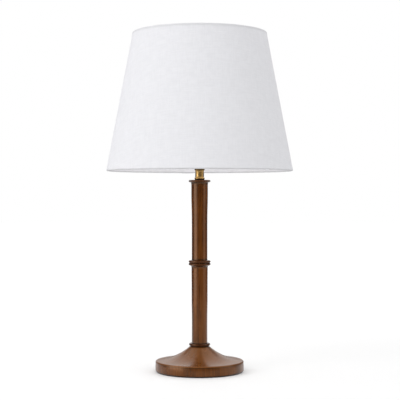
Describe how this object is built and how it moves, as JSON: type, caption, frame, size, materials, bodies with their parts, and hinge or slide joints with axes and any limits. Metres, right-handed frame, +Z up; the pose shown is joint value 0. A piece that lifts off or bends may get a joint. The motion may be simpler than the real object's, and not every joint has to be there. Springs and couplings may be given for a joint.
{
  "type": "candlestick table lamp",
  "caption": "Candlestick table lamp: turned wooden base and ringed column, short brass neck with lampholder and harp, and a tapered fabric shade held by a finial.",
  "frame": {"origin": "centre of the underside of the felt, on the table, on the axis of the column", "axes": "+Z up the column; the front, which the switch knob faces, is towards -Y and the cord bushing is at +Y; the harp stands in the XZ plane"},
  "size_m": [0.3563, 0.3564, 0.6544],
  "materials": {
    "walnut": "semi-gloss lacquer over dark brown stain",
    "base_felt": "dark brown felt",
    "cast_weight": "rough casting",
    "zinc_steel": "zinc plated",
    "tube_steel": "threaded, zinc plated",
    "bushing_nylon": "matt black",
    "washer_fibre": "matt dark fibre",
    "satin_brass": "satin, lacquered",
    "screw_brass": "bright",
    "liner_card": "varnished insulating card",
    "body_phenolic": "moulded, dark",
    "shell_aluminium": "rolled thread",
    "knob_black": "gloss black",
    "shaft_steel": "plain",
    "bulb_white": "frosted inside",
    "stem_glass": "clear",
    "insulator_glass": "black, opaque",
    "solder": "solder",
    "tungsten": "fine wire",
    "white_linen": "white linen weave",
    "white_styrene": "matt white"
  },
  "bodies": {
    "lamp": {"base_foot": "walnut", "felt_pad": "base_felt", "counterweight": "cast_weight", "base_washer": "zinc_steel", "base_lock_washer": "zinc_steel", "base_nut": "zinc_steel", "cord_bushing": "bushing_nylon", "foot_ring": "walnut", "lower_column": "walnut", "middle_ring": "walnut", "upper_column": "walnut", "top_collar": "walnut", "threaded_tube": "tube_steel", "neck_washer": "washer_fibre", "brass_neck": "satin_brass", "harp_saddle": "satin_brass", "saddle_nut": "zinc_steel", "socket_cap": "satin_brass", "cap_screw": "screw_brass", "socket_shell": "satin_brass", "socket_liner": "liner_card", "socket_body": "body_phenolic", "terminal_screws": "screw_brass", "screw_shell": "shell_aluminium", "centre_contact": "screw_brass"},
    "switch": {"switch_shaft": "shaft_steel", "switch_knob": "knob_black"},
    "bulb": {"bulb_glass": "bulb_white", "bulb_cap": "shell_aluminium", "bulb_insulator": "insulator_glass", "bulb_contact": "solder", "bulb_stem": "stem_glass", "bulb_filament": "tungsten"},
    "harp": {"harp_wire": "satin_brass"},
    "sleeve_left": {"harp_sleeve_left": "satin_brass"},
    "sleeve_right": {"harp_sleeve_right": "satin_brass"},
    "stud": {"harp_stud": "satin_brass"},
    "shade": {"shade_fabric": "white_linen", "shade_lining": "white_styrene", "shade_top_wire": "zinc_steel", "shade_bottom_wire": "zinc_steel", "shade_top_hem": "white_linen", "shade_bottom_hem": "white_linen", "shade_spider": "satin_brass"},
    "finial": {"finial": "satin_brass"}
  },
  "joints": [
    {"name": "switch_turn", "type": "hinge", "parent": "lamp", "child": "switch", "pos_m": [0, 0, 0.4266], "axis": [0, -1, 0], "continuous": true},
    {"name": "bulb_lift", "type": "slide", "parent": "lamp", "child": "bulb", "axis": [0, 0, 1], "range_m": [0, 0.025]},
    {"name": "harp_lift", "type": "slide", "parent": "lamp", "child": "harp", "axis": [0, 0, 1], "range_m": [0, 0.02]},
    {"name": "sleeve_left_slide", "type": "slide", "parent": "harp", "child": "sleeve_left", "axis": [0, 0, 1], "range_m": [0, 0.015]},
    {"name": "sleeve_right_slide", "type": "slide", "parent": "harp", "child": "sleeve_right", "axis": [0, 0, 1], "range_m": [0, 0.015]},
    {"name": "shade_swivel", "type": "hinge", "parent": "harp", "child": "stud", "pos_m": [0, 0, 0.631], "axis": [0, 0, 1], "continuous": true},
    {"name": "shade_lift", "type": "slide", "parent": "stud", "child": "shade", "axis": [0, 0, 1], "range_m": [0, 0.27]},
    {"name": "finial_lift", "type": "slide", "parent": "shade", "child": "finial", "axis": [0, 0, 1], "range_m": [0, 0.02]}
  ]
}
